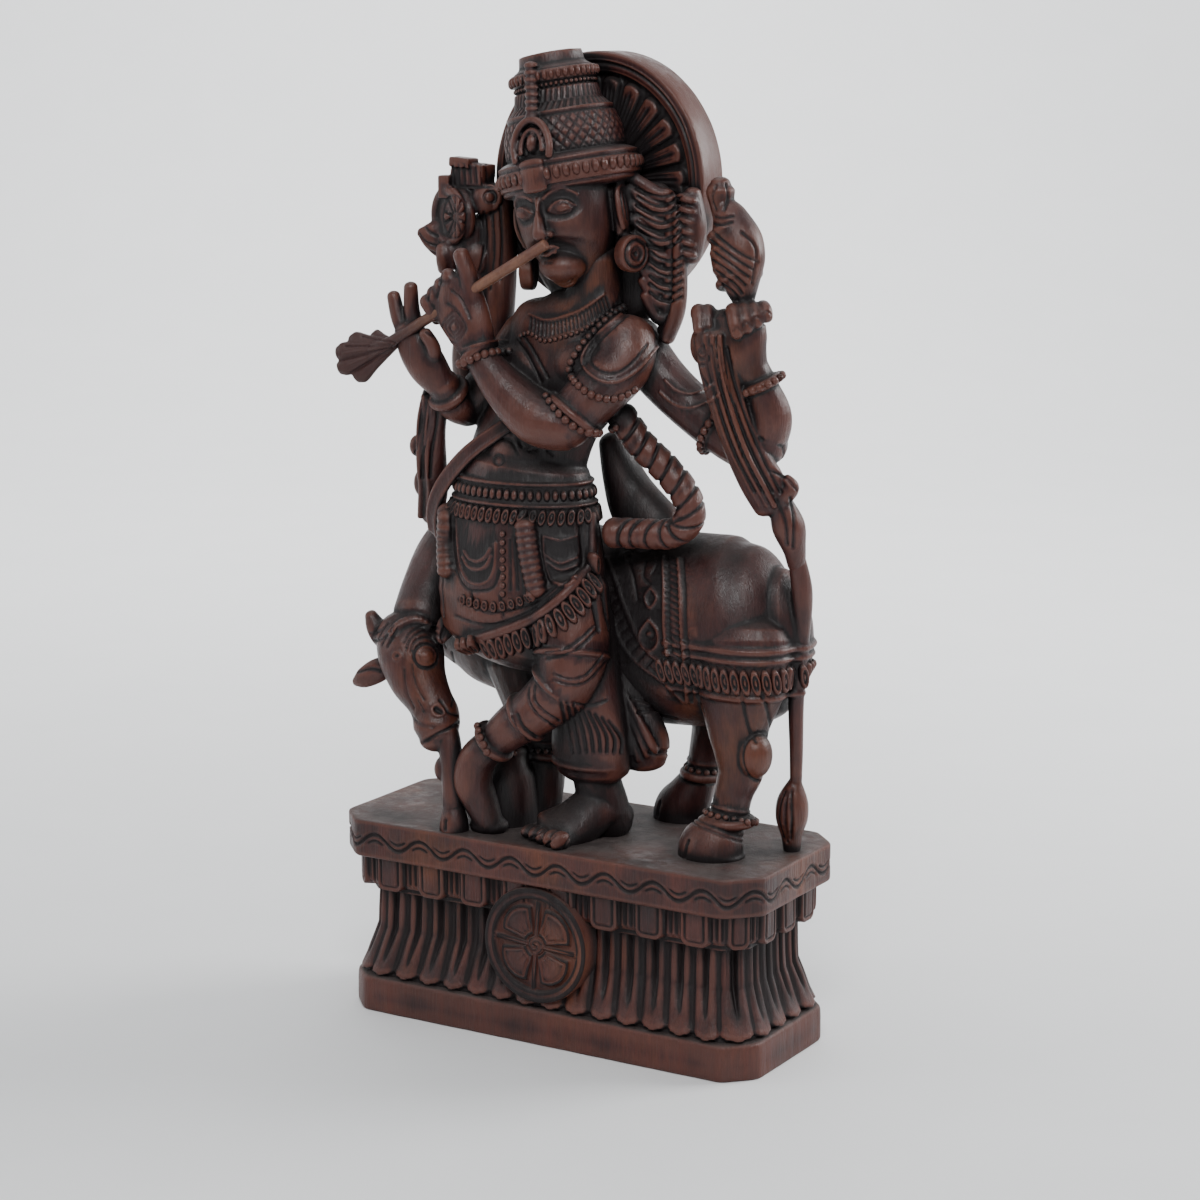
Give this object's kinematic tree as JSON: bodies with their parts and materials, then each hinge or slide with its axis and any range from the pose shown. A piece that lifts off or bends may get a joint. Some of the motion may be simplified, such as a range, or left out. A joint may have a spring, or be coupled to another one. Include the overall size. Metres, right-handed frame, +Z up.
{
  "type": "krishna figure",
  "caption": "Carved wooden figure of a four-armed flute player standing before a cow, on a tall plinth with a lappet border, a reeded skirt and a front medallion.",
  "frame": {"origin": "middle of the plinth's flat underside", "axes": "+Z up, -Y towards the carving's front, +X towards the viewer's right"},
  "size_m": [0.305, 0.127, 0.6108],
  "materials": {
    "carved_wood": "very dark red-brown stain, semi-gloss, rubbed lighter on edges and high places",
    "flute_wood": "lighter brown, satin, worn near the mouth"
  },
  "bodies": {
    "root": {"carving": "carved_wood", "flute": "flute_wood"}
  },
  "joints": []
}
